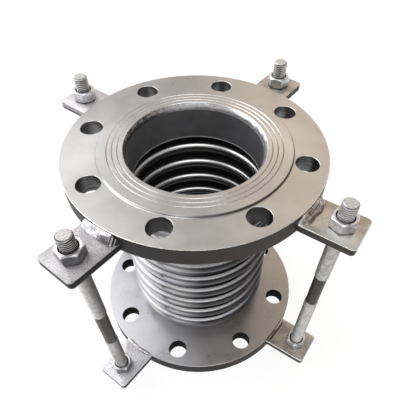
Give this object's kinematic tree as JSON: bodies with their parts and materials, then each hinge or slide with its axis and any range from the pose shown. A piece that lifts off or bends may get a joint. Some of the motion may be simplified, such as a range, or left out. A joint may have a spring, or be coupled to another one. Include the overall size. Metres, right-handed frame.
{
  "type": "flanged expansion joint",
  "caption": "Metal bellows between two bolted pipe flanges, with tie rods through lugs on the flange rims; takes up axial movement in a pipeline.",
  "frame": {"origin": "on the joint's axis, level with the lower ends of the tie rods", "axes": "+Z along the pipe's axis, from the end that the rods are fixed to towards the end that slides"},
  "size_m": [0.2682, 0.2682, 0.284],
  "materials": {
    "flange_steel": "satin sprayed metal",
    "lug_steel": "satin sprayed metal",
    "pipe_steel": "dull",
    "bellows_steel": "polished",
    "weld_metal": "rough bead",
    "rod_steel": "zinc plated",
    "nut_steel": "zinc plated"
  },
  "bodies": {
    "lower_end": {"lower_flange": "flange_steel", "lower_stub": "pipe_steel", "lower_bore_weld": "weld_metal", "lower_back_weld": "weld_metal", "bellows": "bellows_steel", "lower_lug_front_right": "lug_steel", "lower_lug_back_right": "lug_steel", "lower_lug_back_left": "lug_steel", "lower_lug_front_left": "lug_steel", "lower_seam_weld_front_right": "weld_metal", "lower_seam_weld_back_right": "weld_metal", "lower_seam_weld_back_left": "weld_metal", "lower_seam_weld_front_left": "weld_metal", "lower_lug_weld_front_right": "weld_metal", "lower_lug_weld_back_right": "weld_metal", "lower_lug_weld_back_left": "weld_metal", "lower_lug_weld_front_left": "weld_metal", "tie_rod_front_right": "rod_steel", "tie_rod_back_right": "rod_steel", "tie_rod_back_left": "rod_steel", "tie_rod_front_left": "rod_steel", "upper_nut_front_right": "nut_steel", "upper_nut_back_right": "nut_steel", "upper_nut_back_left": "nut_steel", "upper_nut_front_left": "nut_steel", "lower_inner_nut_front_right": "nut_steel", "lower_inner_nut_back_right": "nut_steel", "lower_inner_nut_back_left": "nut_steel", "lower_inner_nut_front_left": "nut_steel", "lower_outer_nut_front_right": "nut_steel", "lower_outer_nut_back_right": "nut_steel", "lower_outer_nut_back_left": "nut_steel", "lower_outer_nut_front_left": "nut_steel"},
    "upper_end": {"upper_flange": "flange_steel", "upper_stub": "pipe_steel", "upper_bore_weld": "weld_metal", "upper_back_weld": "weld_metal", "upper_lug_front_right": "lug_steel", "upper_lug_back_right": "lug_steel", "upper_lug_back_left": "lug_steel", "upper_lug_front_left": "lug_steel", "upper_lug_weld_front_right": "weld_metal", "upper_lug_weld_back_right": "weld_metal", "upper_lug_weld_back_left": "weld_metal", "upper_lug_weld_front_left": "weld_metal"}
  },
  "joints": [
    {"name": "axial_slide", "type": "slide", "parent": "lower_end", "child": "upper_end", "axis": [0, 0, 1], "range_m": [-0.02, 0], "stiffness_N_per_m": 80000, "springref_m": 0.002, "deforming": ["bellows"]}
  ]
}
